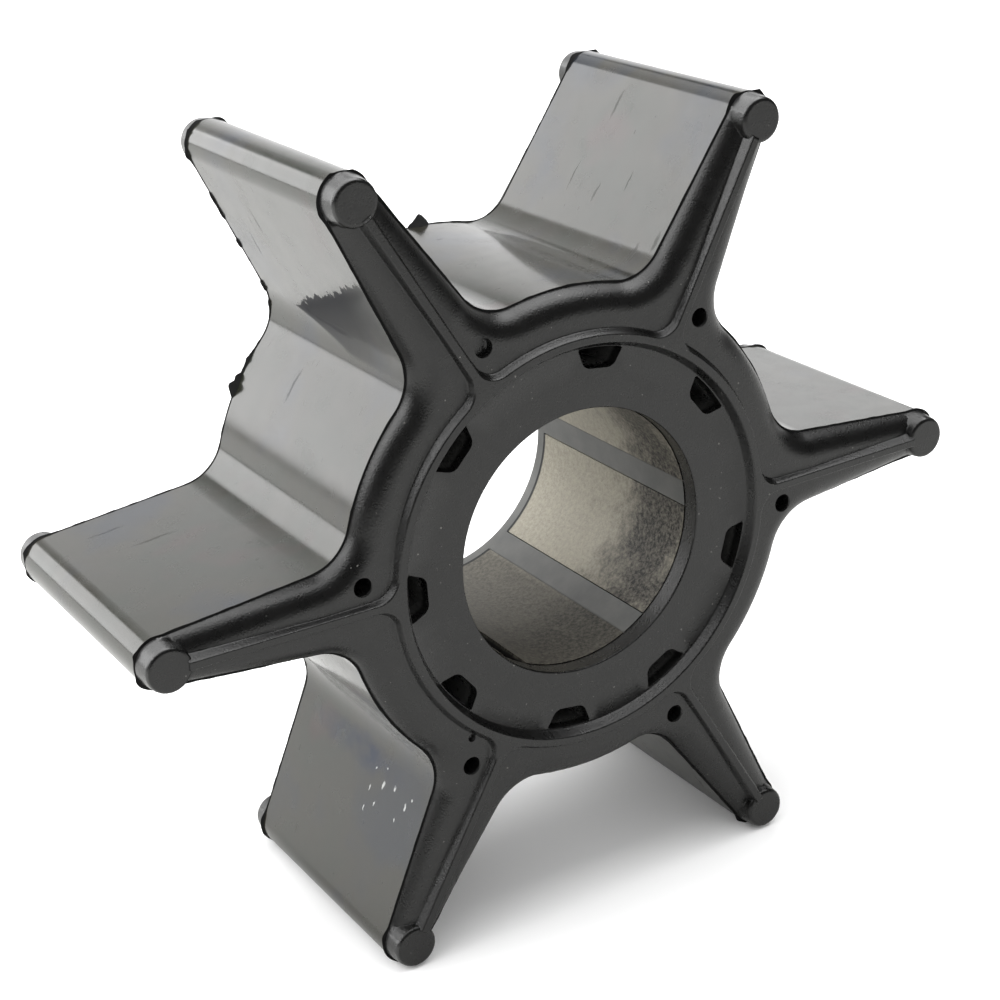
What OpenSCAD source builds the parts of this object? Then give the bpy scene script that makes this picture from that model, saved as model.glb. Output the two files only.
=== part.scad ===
// Flexible rubber impeller of a small water pump: six tapered vanes with beaded tips and
// sealing ribs on both end faces, moulded on a metal bush that is keyed to the drive shaft.
// It stands on two vane tips, with the shaft's axis along Y and the front end toward -Y.

/* [Vanes] */
// Number of vanes
vane_count = 6; // [5:1:7]
// Circle through the centres of the vane tip beads
tip_circle_d = 55; // [52:0.5:60]
// Diameter of the round bead at a vane's tip
tip_bead_d = 3.12; // [2.8:0.02:3.4]
// Taper of a vane's flank, to each side
flank_angle = 5.56; // [4:0.1:7]
// Radius of the fillet where a vane's flank runs into the hub
root_fillet_r = 3.1; // [2.4:0.1:3.6]

/* [Ends] */
// Width over the flat discs at the ends of the tip beads
bead_width = 20.3; // [16:0.1:26]
// Height of the mould's parting edge below a bead's end disc
parting_drop = 1.43; // [1.2:0.01:1.7]
// Width of the sharp ledge that the parting edge leaves
parting_ledge = 0.06; // [0.04:0.01:0.1]
// Draft of the shoulder's short wall above the parting edge, from the axis
shoulder_angle = 12; // [6:1:20]
// Radius that rounds the shoulder into the end face
shoulder_r = 1.6; // [1.2:0.05:1.65]
// Depth of the end face at the hub, below a bead's end disc
face_drop = 0.06; // [0:0.01:0.12]
// Slope of the end face along a vane, down toward the tip
face_slope = 3.1; // [2:0.1:3.6]
// Diameter of a bead's flat end disc
bead_disc_d = 2.8; // [2.6:0.02:2.86]
// Radius on the edge of a bead's end disc
bead_edge_r = 0.28; // [0.1:0.01:0.35]

/* [Sealing ribs and ring] */
// Width of a rib along its top
rib_top_w = 0.5; // [0.4:0.05:0.7]
// Width of a rib at the end face
rib_base_w = 0.84; // [0.75:0.01:1]
// Height of a rib above the bead discs, at the ring
rib_proud = 0.46; // [0.3:0.02:0.6]
// Slope of a rib's top, down toward the tip
rib_slope = 1.2; // [0.8:0.1:1.6]
// Mean diameter of the sealing ring's flat top
ring_d = 26.02; // [25:0.02:27]
// Width of the ring's flat top
ring_top_w = 0.5; // [0.4:0.05:0.7]
// Slope of the ring's inner wall, from the axis
ring_inner_angle = 27; // [20:1:32]
// Slope of the ring's outer wall, from the axis
ring_outer_angle = 27; // [20:1:32]
// Radius of the corner between a rib and the ring
rib_corner_r = 1.25; // [0.6:0.05:1.4]

/* [Hub] */
// Outer diameter of the hub between the vanes
hub_d = 32; // [31:0.1:33]
// Depth of the front hub face inside the ring, below the bead discs
front_recess = 0.22; // [0.15:0.01:0.6]
// Depth of the back hub face inside the ring, below the bead discs
back_recess = 1.4; // [0.8:0.05:1.6]
// Thickness of the rubber lip in front of the bush
front_lip_t = 1.29; // [1:0.01:2]
// Thickness of the rubber lip behind the bush
back_lip_t = 0.89; // [0.6:0.01:2]
// Step from the bush's bore out to the bore of the rubber lips
lip_step = 0.05; // [0:0.01:0.2]

/* [Bush] */
// Shaft bore of the metal bush
bush_bore_d = 17; // [16:0.05:17.2]
// Wall of the bush outside its bore
bush_wall = 2; // [1.6:0.05:2.2]
// Width of the keyway, which fits the shaft's key
keyway_w = 2; // [1.6:0.05:2.4]
// Angle of the keyway, from +X toward +Z
keyway_angle = -123.25; // [-126:0.25:-120]
// Width of the bush's other grooves, which the rubber fills
groove_w = 1.83; // [1.5:0.01:2.1]
// Depth of the keyway and the grooves into the bush's wall
groove_depth = 1.2; // [0.8:0.05:1.4]

/* [Notches and pin holes] */
// Radius to the flat inner end of a notch
notch_inner_r = 11.05; // [10.95:0.05:11.3]
// Width of a notch's inner end, with its corners
notch_inner_w = 2.4; // [2.2:0.05:2.7]
// Width of a notch at the ring's inner edge
notch_outer_w = 3.7; // [3:0.05:4]
// Radius of a notch's inner corners
notch_corner_r = 0.35; // [0.3:0.05:0.6]
// Depth of a notch
notch_depth = 4; // [2.5:0.1:5]
// Diameter of the small blind hole at each vane's root
pin_hole_d = 1.2; // [0.8:0.05:1.3]
// Distance of the small hole from the axis, along the vane
pin_hole_r = 15.3; // [15.1:0.05:15.5]
// Distance of the small hole from the vane's centre line
pin_hole_offset = 1.48; // [1.4:0.02:1.55]
// Depth of the small hole
pin_hole_depth = 2; // [1:0.1:3]

/* [Hidden] */
$fn = 96;

// Notches, from the line that they lie evenly about, in degrees
notch_line = 60;
notch_angles = [22, 76.5, 121.3, 158];
// Grooves of the bush that the rubber fills, in degrees
filled_grooves = [-59.5, 3.75, 60, 116.25, 179.5];

tip_r = tip_circle_d / 2;
bead_r = tip_bead_d / 2;
hub_r = hub_d / 2;
bead_top = bead_width / 2;
parting_z = bead_top - parting_drop;
face_z = bead_top - face_drop;
pitch = 360 / vane_count;

// The root fillet's centre, in the frame of a vane that lies along +X: it is one fillet radius
// from the flank and from the hub.
flank_dir = [-cos(flank_angle), sin(flank_angle)];
flank_normal = [sin(flank_angle), cos(flank_angle)];
fillet_start = [tip_r, 0] + (bead_r + root_fillet_r) * flank_normal;
fillet_reach = hub_r + root_fillet_r;
along = fillet_start * flank_dir;
fillet_travel = -along - sqrt(along * along - fillet_start * fillet_start + fillet_reach * fillet_reach);
fillet_c = fillet_start + fillet_travel * flank_dir;
fillet_hub_angle = atan2(fillet_c[1], fillet_c[0]);
// Where a vane's end face begins to fall toward the tip
slope_x = fillet_c[0] - root_fillet_r * flank_normal[0];

// Steps of the loft round a bead, a fillet and the hub, and up the shoulder's rounding
bead_steps = 6;
fillet_steps = 7;
hub_steps = 3;
round_steps = 4;
half_count = bead_steps + fillet_steps + hub_steps + 2;
// How far the loft and what stands on it reach down into the solid below
sink = 0.4;

// Point k of half a vane's outline, moved in by the distance inset
function half_point(k, inset) =
    k <= bead_steps
        ? let (a = (90 - flank_angle) * k / bead_steps)
            [tip_r, 0] + (bead_r - inset) * [cos(a), sin(a)]
    : k <= bead_steps + fillet_steps + 1
        ? let (
            from = 270 - flank_angle,
            to = 180 + fillet_hub_angle,
            a = from + (to - from) * (k - bead_steps - 1) / fillet_steps
        ) fillet_c + (root_fillet_r + inset) * [cos(a), sin(a)]
    : let (
        step = (k - bead_steps - fillet_steps - 1) / hub_steps,
        a = fillet_hub_angle + (pitch / 2 - fillet_hub_angle) * step
    ) (hub_r - inset) * [cos(a), sin(a)];

// Height of the end face over a point of the outline
function face_height(k) = face_z - max(0, half_point(k, 0)[0] - slope_x) * tan(face_slope);

// The shoulder's section at a height of the end face: the ledge, the short wall and its rounding,
// as [inset, height] for each level of the loft. The rounding stays inside half the wall's width.
level_count = round_steps + 3;
function shoulder(level, top, half_width) =
    let (
        rise = top - parting_z,
        reach = half_width - 2 * parting_ledge,
        r = min(shoulder_r, (reach * reach + rise * rise) / (2 * rise)),
        lean = acos(max(sin(shoulder_angle), 1 - rise / r)),
        wall_rise = rise - r * (1 - cos(lean)),
        flat = parting_ledge + wall_rise * tan(shoulder_angle) + r * sin(lean),
        a = lean * (round_steps + 2 - level) / (round_steps + 1)
    )
    level == 0 ? [parting_ledge, parting_z - sink]
    : level == 1 ? [parting_ledge, parting_z]
    : [flat - r * sin(a), top - r * (1 - cos(a))];

// Point i of one vane's whole outline, from the middle of the hub on one side to the other
point_count = 2 * half_count - 1;
last = half_count - 1;
function half_index(i) = abs(i - last);
function loft_point(i, level) =
    let (
        k = half_index(i),
        s = shoulder(level, face_height(k), k <= bead_steps ? bead_r : hub_r),
        p = half_point(k, s[0])
    ) [p[0], i < last ? -p[1] : p[1], s[1]];
function turned(p, a) = [p[0] * cos(a) - p[1] * sin(a), p[0] * sin(a) + p[1] * cos(a), p[2]];

// One vane's section of the end shoulder and its share of the hub, as points and triangles
row = point_count - 1;
ring_points = vane_count * row;
function loft_points() = [
    for (level = [0:level_count - 1], v = [0:vane_count - 1], i = [0:row - 1])
        turned(loft_point(i, level), v * pitch)
];
function at(level, n) = level * ring_points + n % ring_points;
root_k = bead_steps + 1;
loft_faces = [
    for (level = [0:level_count - 2], n = [0:ring_points - 1]) each [
        [at(level, n), at(level + 1, n), at(level, n + 1)],
        [at(level, n + 1), at(level + 1, n), at(level + 1, n + 1)]
    ],
    for (n = [0:ring_points - 1]) [level_count * ring_points, at(0, n), at(0, n + 1)],
    for (v = [0:vane_count - 1]) each vane_top(v * row)
];
// The top over one vane: strips across the vane, then the hub's share as a fan from the axis
function vane_top(first) =
    let (top = level_count - 1, centre = level_count * ring_points + 1)
    [
        for (k = [1:root_k - 1]) each [
            [at(top, first + last - k), at(top, first + last + k + 1), at(top, first + last + k)],
            [at(top, first + last - k), at(top, first + last - k - 1), at(top, first + last + k + 1)]
        ],
        [at(top, first + last), at(top, first + last - 1), at(top, first + last + 1)],
        for (i = [0:last - root_k - 1]) [centre, at(top, first + i + 1), at(top, first + i)],
        [centre, at(top, first + last + root_k), at(top, first + last - root_k)],
        for (i = [last + root_k:row - 1]) [centre, at(top, first + i + 1), at(top, first + i)]
    ];

module at_vanes() {
    for (v = [0:vane_count - 1]) rotate([0, 0, v * pitch]) children();
}

module fillet_wedge() {
    foot = fillet_c - root_fillet_r * flank_normal;
    hub_foot = fillet_c * hub_r / fillet_reach;
    difference() {
        polygon([[hub_r * 0.8, 0], foot, fillet_c, hub_foot]);
        translate(fillet_c) circle(r = root_fillet_r);
    }
}

module outline() {
    foot = fillet_c - root_fillet_r * flank_normal;
    bead_foot = [tip_r, 0] + bead_r * flank_normal;
    circle(r = hub_r);
    at_vanes() {
        translate([tip_r, 0]) circle(r = bead_r);
        polygon([[0, 0], foot, bead_foot, [bead_foot[0], -bead_foot[1]], [foot[0], -foot[1]]]);
        fillet_wedge();
        mirror([0, 1]) fillet_wedge();
    }
}

module end_loft() {
    polyhedron(
        points = concat(loft_points(), [[0, 0, parting_z - sink], [0, 0, face_z]]),
        faces = loft_faces
    );
}

module bead_end() {
    disc_r = bead_disc_d / 2;
    base_r = bead_r - parting_ledge / 2;
    edge = [for (a = [0:30:90]) [disc_r - bead_edge_r, bead_top - bead_edge_r] + bead_edge_r * [cos(a), sin(a)]];
    rotate_extrude()
        polygon(concat([[0, parting_z - sink], [base_r, parting_z - sink], [base_r, parting_z]], edge, [[0, bead_top]]));
}

ring_top = bead_top + rib_proud;
ring_inner_r = ring_d / 2 - ring_top_w / 2;
ring_outer_r = ring_d / 2 + ring_top_w / 2;
module ring(recess) {
    foot = rib_proud + max(recess, face_drop) + sink;
    rotate_extrude()
        polygon([
            [ring_inner_r, ring_top],
            [ring_outer_r, ring_top],
            [ring_outer_r + foot * tan(ring_outer_angle), ring_top - foot],
            [ring_inner_r - foot * tan(ring_inner_angle), ring_top - foot]
        ]);
}

module rib() {
    start = ring_outer_r - sink;
    length = tip_r - bead_disc_d / 2 + bead_edge_r - start;
    deep = rib_proud + face_drop + 2 * sink;
    grow = (rib_base_w - rib_top_w) / 2 * deep / (rib_proud + face_drop);
    translate([start, 0, ring_top])
        rotate([0, rib_slope, 0])
            rotate([90, 0, 90])
                linear_extrude(height = length)
                    polygon([
                        [-rib_top_w / 2, 0],
                        [rib_top_w / 2, 0],
                        [rib_top_w / 2 + grow, -deep],
                        [-rib_top_w / 2 - grow, -deep]
                    ]);
}

module notch() {
    corner_x = notch_inner_r + notch_corner_r;
    corner_y = notch_inner_w / 2 - notch_corner_r;
    wall_r = ring_inner_r - (ring_top - bead_top + front_recess) * tan(ring_inner_angle) - 0.05;
    translate([0, 0, bead_top - front_recess - notch_depth])
        linear_extrude(height = notch_depth + 1)
            intersection() {
                union() {
                    for (side = [-1, 1]) translate([corner_x, side * corner_y]) circle(r = notch_corner_r);
                    polygon([
                        [notch_inner_r, -corner_y],
                        [corner_x, -notch_inner_w / 2],
                        [ring_inner_r, -notch_outer_w / 2],
                        [ring_inner_r, notch_outer_w / 2],
                        [corner_x, notch_inner_w / 2],
                        [notch_inner_r, corner_y]
                    ]);
                }
                circle(r = wall_r);
            }
}

module recess_cut(recess) {
    translate([0, 0, bead_top - recess]) cylinder(d = ring_d, h = 2 * recess);
}

// The solid moulding between its two end faces
module body() {
    difference() {
        union() {
            translate([0, 0, -parting_z]) linear_extrude(height = 2 * parting_z) outline();
            for (end = [0, 1]) mirror([0, 0, end]) {
                end_loft();
                at_vanes() bead_end();
            }
        }
        recess_cut(front_recess);
        mirror([0, 0, 1]) recess_cut(back_recess);
    }
}

// Fills the corner between a rib and the ring, with the walls taken at half their height
module rib_corner() {
    half_height = (rib_proud + face_drop) / 2;
    side_y = (rib_top_w + rib_base_w) / 4;
    wall_r = ring_outer_r + half_height * tan(ring_outer_angle);
    centre_y = side_y + rib_corner_r;
    centre_x = sqrt((wall_r + rib_corner_r) ^ 2 - centre_y ^ 2);
    touch = [centre_x, centre_y] * wall_r / (wall_r + rib_corner_r);
    translate([0, 0, face_z - sink])
        linear_extrude(height = half_height * 1.5 + sink)
            difference() {
                polygon([[ring_outer_r, 0], [centre_x, 0], [centre_x, centre_y], touch, [ring_outer_r, touch[1] / 2]]);
                translate([centre_x, centre_y]) circle(r = rib_corner_r);
            }
}

module end_ribs(recess) {
    ring(recess);
    at_vanes() {
        rib();
        rib_corner();
        mirror([0, 1, 0]) rib_corner();
    }
}

bush_d = bush_bore_d + 2 * bush_wall;
lip_bore_d = bush_bore_d + 2 * lip_step;
bush_front = bead_top - front_recess - front_lip_t;
bush_back = -bead_top + back_recess + back_lip_t;
bush_length = bush_front - bush_back;

// A bar that fills a groove of the bush, between two heights along the axis
module groove_bar(angle, width, low, high) {
    rotate([0, 0, angle])
        translate([bush_bore_d / 2 - 1, -width / 2, low])
            cube([1 + groove_depth, width, high - low]);
}

module filled_bars() {
    for (a = filled_grooves) groove_bar(a, groove_w, bush_back - 1, bush_front + 1);
}

module bush_blank() {
    translate([0, 0, bush_back]) cylinder(d = bush_d, h = bush_length);
}

module rubber_impeller() {
    color([0.16, 0.16, 0.17])
        rotate([90, 0, 0])
            difference() {
                union() {
                    body();
                    end_ribs(front_recess);
                    mirror([0, 0, 1]) end_ribs(back_recess);
                }
                difference() {
                    bush_blank();
                    filled_bars();
                }
                translate([0, 0, -bead_width]) cylinder(d = lip_bore_d, h = 2 * bead_width);
                groove_bar(keyway_angle, keyway_w, -bead_width, bush_front);
                for (side = [-1, 1], a = notch_angles) rotate([0, 0, notch_line + side * a]) notch();
                at_vanes()
                    translate([pin_hole_r, -pin_hole_offset, face_z - pin_hole_depth])
                        cylinder(d = pin_hole_d, h = pin_hole_depth + 1);
            }
}

module hub_bush() {
    color([0.62, 0.6, 0.55])
        rotate([90, 0, 0])
            difference() {
                bush_blank();
                translate([0, 0, bush_back - 1]) cylinder(d = bush_bore_d, h = bush_length + 2);
                filled_bars();
                groove_bar(keyway_angle, keyway_w, bush_back - 1, bush_front + 1);
            }
}

rubber_impeller();
hub_bush();
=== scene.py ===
"""Looks of the pump impeller: the rubber moulding and the metal bush in its bore, as smooth meshes
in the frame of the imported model. Lengths are in millimetres until a mesh is made."""

import math

import bpy
import numpy as np
from mathutils import Matrix, Vector, noise
from mathutils.geometry import delaunay_2d_cdt


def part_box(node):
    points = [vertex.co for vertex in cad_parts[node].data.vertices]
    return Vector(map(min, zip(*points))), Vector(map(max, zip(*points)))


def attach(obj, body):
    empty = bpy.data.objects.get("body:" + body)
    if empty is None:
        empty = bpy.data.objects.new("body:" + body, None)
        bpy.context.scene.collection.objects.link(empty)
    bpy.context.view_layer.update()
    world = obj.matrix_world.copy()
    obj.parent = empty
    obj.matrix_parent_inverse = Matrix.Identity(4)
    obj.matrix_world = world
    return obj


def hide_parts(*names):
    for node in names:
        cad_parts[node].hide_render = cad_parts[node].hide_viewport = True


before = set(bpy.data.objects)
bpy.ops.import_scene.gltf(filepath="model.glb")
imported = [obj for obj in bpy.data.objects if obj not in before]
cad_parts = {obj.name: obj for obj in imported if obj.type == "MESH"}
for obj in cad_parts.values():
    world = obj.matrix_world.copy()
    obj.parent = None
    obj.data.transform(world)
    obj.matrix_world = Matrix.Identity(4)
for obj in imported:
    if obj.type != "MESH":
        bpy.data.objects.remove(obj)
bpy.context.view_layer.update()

MM = 0.001

# Driving sizes, as in the solids. What the frame shows comes from the frame.

rubber_low, rubber_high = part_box("rubber_impeller")
bush_low, bush_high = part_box("hub_bush")
VANES = 6
PITCH = 2 * math.pi / VANES
BEAD_R = 1.56
TIP_R = (rubber_high.x - rubber_low.x) / MM / 2 - BEAD_R
HUB_R = 16.0
FILLET_R = 3.1
FLANK_ANGLE = math.radians(5.56)

# Heights, the shoulders and the end faces

RIB_PROUD = 0.46
FACE_DROP = 0.06
RING_TOP = (rubber_high.y - rubber_low.y) / MM / 2
BEAD_TOP = RING_TOP - RIB_PROUD
PARTING_Z = BEAD_TOP - 1.43
FACE_Z = BEAD_TOP - FACE_DROP
LEDGE = 0.06
SHOULDER_ANGLE = math.radians(12)
SHOULDER_R = 1.6
FACE_SLOPE = math.tan(math.radians(3.1))
RECESS = {"front": 0.22, "back": 1.4}

# Bead discs, ribs and the sealing ring

BEAD_DISC_R = 1.4
BEAD_EDGE_R = 0.28
RIB_TOP_W = 0.5
RIB_BASE_W = 0.84
RIB_SLOPE = math.tan(math.radians(1.2))
RIB_CORNER_R = 1.35
RING_R = 13.01
RING_HALF_W = 0.25
RING_WALL_SLOPE = 1 / math.tan(math.radians(27))
WALL_CHANGE_R = 14.0
WALL_CHANGE_W = 1.5

# Widths over which the creases between these forms are rounded

RIDGE_TOP_ROUND = 0.06
RIDGE_FOOT_ROUND = 0.1
DISC_FOOT_ROUND = 0.05
RING_FOOT_ROUND = 0.12
HOLE_EDGE_ROUND = 0.04

# The bore, its lips and the bush

LIP_R = 8.55
LIP_EDGE_R = 0.12
BUSH_BORE_R = 8.5
BUSH_FRONT = -bush_low.y / MM
BUSH_BACK = -bush_high.y / MM
BUSH_WALL = 2.0
GROOVE_DEPTH = 1.2
GROOVE_W = 1.83
KEYWAY_W = 2.0
KEYWAY_ANGLE = math.radians(-123.25)
FILLED_GROOVES = [math.radians(a) for a in (-59.5, 3.75, 60, 116.25, 179.5)]

# Notches, blind holes and a small pit in the front face

NOTCH_LINE = math.radians(60)
NOTCH_ANGLES = [math.radians(a) for a in (22, 76.5, 121.3, 158)]
NOTCH_INNER_R = 11.05
NOTCH_INNER_HALF_W = 1.2
NOTCH_OUTER_HALF_W = 1.85
NOTCH_CORNER_R = 0.35
NOTCH_WALL_R = 12.36
NOTCH_MIDDLE_R = 11.8
NOTCH_DEPTH = 4.0
NOTCH_DRAFT = 0.3
PIN_R = 0.6
PIN_AT = (15.3, -1.48)
PIN_DEPTHS = [2.0, 2.0, 0.55, 2.0, 2.0, 2.0]
PIN_DRAFT = 0.1
PIT_AT = (-8.8, -10.59)
PIT_R = 0.26
PIT_DEPTH = 0.3
PIT_DRAFT = 0.16
NEVER = 99.0

# How finely the outline, the walls and the bore are divided

TIP_STEPS = 12
FLANK_STEPS = 22
FILLET_STEPS = 14
HUB_STEPS = 10
FLASH_STEPS = 3
FLANK_ROWS = 4
LIP_ROWS = 5
STRIP_ROWS = 12
BUSH_ROWS = 14
BORE_COUNT = 240
BUSH_ARC_STEP = 0.02
BOX_GAP = 0.005
WELD_DECIMALS = 5

# The fillet's centre in the frame of a vane along +X, one fillet radius from flank and hub

FLANK_DIR = np.array([-math.cos(FLANK_ANGLE), math.sin(FLANK_ANGLE)])
FLANK_NORMAL = np.array([math.sin(FLANK_ANGLE), math.cos(FLANK_ANGLE)])
TIP = np.array([TIP_R, 0.0])


def fillet_centre():
    start = TIP + (BEAD_R + FILLET_R) * FLANK_NORMAL
    along = start @ FLANK_DIR
    travel = -along - math.sqrt(along**2 - start @ start + (HUB_R + FILLET_R) ** 2)
    return start + travel * FLANK_DIR


FILLET_C = fillet_centre()
FILLET_HUB_ANGLE = math.atan2(FILLET_C[1], FILLET_C[0])
FLANK_FOOT = FILLET_C - FILLET_R * FLANK_NORMAL
SLOPE_X = FLANK_FOOT[0]
RIB_END = TIP_R - BEAD_DISC_R + BEAD_EDGE_R


# Height of the end faces over a point of the section

def fold(x, y):
    """A point in the frame of its nearest vane: u along the vane and w across it."""
    a = np.arctan2(y, x)
    a = a - PITCH * np.round(a / PITCH)
    r = np.hypot(x, y)
    return r * np.cos(a), r * np.sin(a)


def inset_of(x, y):
    """Distance from the outline, positive inside."""
    u, w = fold(x, y)
    w = np.abs(w)
    hub = HUB_R - np.hypot(u, w)
    fillet = np.hypot(u - FILLET_C[0], w - FILLET_C[1]) - FILLET_R
    flank = BEAD_R - ((u - TIP_R) * FLANK_NORMAL[0] + w * FLANK_NORMAL[1])
    bead = BEAD_R - np.hypot(u - TIP_R, w)
    past_foot = (u - FLANK_FOOT[0]) * FLANK_DIR[0] + (w - FLANK_FOOT[1]) * FLANK_DIR[1] > 0
    past_tip = (u - TIP_R) * FLANK_DIR[0] + w * FLANK_DIR[1] < 0
    side = np.where(past_foot, fillet, np.where(past_tip, bead, flank))
    return np.where(np.arctan2(w, u) > FILLET_HUB_ANGLE, hub, side)


def smooth_max(a, b, k):
    """The larger of two heights, with the crease between them rounded over k."""
    h = np.maximum(k - np.abs(a - b), 0) / k
    return np.maximum(a, b) + h * h * k / 4


def smooth_min(a, b, k):
    return -smooth_max(-a, -b, k)


def shoulder_height(inset, top):
    """The ledge at the parting edge, the shoulder's short wall and its rounding into the end face."""
    rise = top - PARTING_Z
    cos_lean = np.maximum(math.sin(SHOULDER_ANGLE), 1 - rise / SHOULDER_R)
    wall_rise = rise - SHOULDER_R * (1 - cos_lean)
    wall_end = LEDGE + wall_rise * math.tan(SHOULDER_ANGLE)
    flat = wall_end + SHOULDER_R * np.sqrt(1 - cos_lean**2)
    on_wall = PARTING_Z + (inset - LEDGE) / math.tan(SHOULDER_ANGLE)
    across = np.maximum(flat - inset, 0)
    rounded = top - SHOULDER_R + np.sqrt(np.maximum(SHOULDER_R**2 - across**2, 0))
    z = np.where(inset < wall_end, on_wall, rounded)
    return np.where(inset < LEDGE, PARTING_Z, z)


def ridge_height(u, w, r):
    """The ribs and the outside of the ring, with a rounded corner between them."""
    from_rib = np.maximum(np.abs(w) - RIB_TOP_W / 2, u - RIB_END)
    from_ring = r - RING_R - RING_HALF_W
    gap = np.hypot(np.maximum(RIB_CORNER_R - from_rib, 0), np.maximum(RIB_CORNER_R - from_ring, 0))
    away = np.maximum(RIB_CORNER_R, np.minimum(from_rib, from_ring)) - gap
    share = np.clip((r - WALL_CHANGE_R) / WALL_CHANGE_W, 0, 1)
    rib_wall = (RIB_PROUD + FACE_DROP) / ((RIB_BASE_W - RIB_TOP_W) / 2)
    wall = RING_WALL_SLOPE + (rib_wall - RING_WALL_SLOPE) * share
    top = RING_TOP - np.maximum(u - RING_R, 0) * RIB_SLOPE
    return top - wall * smooth_max(away, 0 * away, RIDGE_TOP_ROUND)


def disc_height(u, w):
    """The bead's flat end disc, its rounded edge and its steep side."""
    from_edge = np.hypot(u - TIP_R, w) - (BEAD_DISC_R - BEAD_EDGE_R)
    arc = BEAD_EDGE_R - np.sqrt(np.maximum(BEAD_EDGE_R**2 - np.clip(from_edge, 0, None) ** 2, 0))
    side = (BEAD_TOP - BEAD_EDGE_R - PARTING_Z) / (BEAD_R - LEDGE / 2 - BEAD_DISC_R)
    down = BEAD_EDGE_R + (from_edge - BEAD_EDGE_R) * side
    return BEAD_TOP - np.where(from_edge < BEAD_EDGE_R, arc, down)


def notch_turns():
    """Angles of the notches, in pairs about their line of symmetry."""
    return [NOTCH_LINE + sign * angle for sign in (-1, 1) for angle in NOTCH_ANGLES]


def notch_distance(x, y):
    """Distance from the nearest notch, negative inside it."""
    length = RING_R - RING_HALF_W - NOTCH_INNER_R - NOTCH_CORNER_R
    lean = (NOTCH_OUTER_HALF_W - NOTCH_INNER_HALF_W) / length
    nearest = np.full(np.shape(x), NEVER)
    for a in notch_turns():
        u = x * math.cos(a) + y * math.sin(a)
        w = np.abs(y * math.cos(a) - x * math.sin(a))
        from_end = NOTCH_INNER_R - u
        widening = (u - NOTCH_INNER_R - NOTCH_CORNER_R) * lean
        from_side = (w - NOTCH_INNER_HALF_W - widening) / math.hypot(1, lean)
        past_end = np.maximum(NOTCH_CORNER_R + from_end, 0)
        past_side = np.maximum(NOTCH_CORNER_R + from_side, 0)
        corner = np.hypot(past_end, past_side)
        d = np.minimum(np.maximum(from_end, from_side), -NOTCH_CORNER_R) + corner
        d = np.maximum(d, np.hypot(x, y) - NOTCH_WALL_R)
        nearest = np.minimum(nearest, np.where(u > 0, d, NEVER))
    return nearest


def pin_distance(x, y):
    u, w = fold(x, y)
    return np.hypot(u - PIN_AT[0], w - PIN_AT[1]) - PIN_R


def sunk(z, distance, depth, draft):
    """Lowers a face where the distance is negative, to a depth, with steep walls."""
    return smooth_min(z, z - np.clip(-distance / draft, 0, 1) * depth, HOLE_EDGE_ROUND)


def end_height(x, y, end):
    """Height of an end face, as a face that looks up."""
    u, w = fold(x, y)
    r = np.hypot(x, y)
    top = FACE_Z - np.maximum(u - SLOPE_X, 0) * FACE_SLOPE
    shoulder = shoulder_height(inset_of(x, y), top)
    outer = smooth_max(shoulder, ridge_height(u, w, r), RIDGE_FOOT_ROUND)
    outer = smooth_max(outer, disc_height(u, w), DISC_FOOT_ROUND)
    hub_face = BEAD_TOP - RECESS[end]
    from_ring = smooth_max(RING_R - RING_HALF_W - r, 0 * r, RIDGE_TOP_ROUND)
    ring_inside = RING_TOP - RING_WALL_SLOPE * from_ring
    inner = smooth_max(hub_face + 0 * r, ring_inside, RING_FOOT_ROUND)
    z = np.where(r > RING_R, outer, inner)
    into_edge = np.clip(LIP_R + LIP_EDGE_R - r, 0, LIP_EDGE_R)
    z = z - (LIP_EDGE_R - np.sqrt(LIP_EDGE_R**2 - into_edge**2))
    if end == "front":
        z = sunk(z, notch_distance(x, y), NOTCH_DEPTH, NOTCH_DRAFT)
        vane = np.round(np.arctan2(y, x) / PITCH).astype(int) % VANES
        z = sunk(z, pin_distance(x, y), np.array(PIN_DEPTHS)[vane], PIN_DRAFT)
        from_pit = np.hypot(x - PIT_AT[0], y - PIT_AT[1]) - PIT_R
        z = sunk(z, from_pit, PIT_DEPTH, PIT_DRAFT)
    return z


def end_normals(x, y, end):
    step = 0.006
    dx = (end_height(x + step, y, end) - end_height(x - step, y, end)) / (2 * step)
    dy = (end_height(x, y + step, end) - end_height(x, y - step, end)) / (2 * step)
    n = np.stack([-dx, -dy, np.ones_like(dx)], 1)
    return n / np.linalg.norm(n, axis=1, keepdims=True)


# The outline, as points with their outward normals

def unit(a):
    """Points at angles on a circle of radius 1."""
    return np.stack([np.cos(a), np.sin(a)], 1)


def arc_points(centre, radius, start, stop, count, outward):
    n = unit(np.linspace(start, stop, count + 1))
    return np.asarray(centre) + radius * n, n * outward


def half_outline():
    """From a vane's tip to the middle of the hub beside it."""
    side = math.pi / 2 - FLANK_ANGLE
    tip_p, tip_n = arc_points(TIP, BEAD_R, 0, side, TIP_STEPS, 1)
    t = np.linspace(0, 1, FLANK_STEPS)[1:-1, None]
    flank_p = tip_p[-1] * (1 - t) + FLANK_FOOT * t
    flank_n = np.repeat(FLANK_NORMAL[None], len(t), 0)
    fillet_stop = math.pi + FILLET_HUB_ANGLE
    fillet_p, fillet_n = arc_points(
        FILLET_C, FILLET_R, math.pi + side, fillet_stop, FILLET_STEPS, -1
    )
    hub_p, hub_n = arc_points((0, 0), HUB_R, FILLET_HUB_ANGLE, PITCH / 2, HUB_STEPS, 1)
    return (
        np.concatenate([tip_p, flank_p, fillet_p, hub_p[1:]]),
        np.concatenate([tip_n, flank_n, fillet_n, hub_n[1:]]),
    )


def turned(p, a):
    """Points of the section turned about the axis."""
    c, s = math.cos(a), math.sin(a)
    return p @ np.array([[c, s], [-s, c]])


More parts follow.
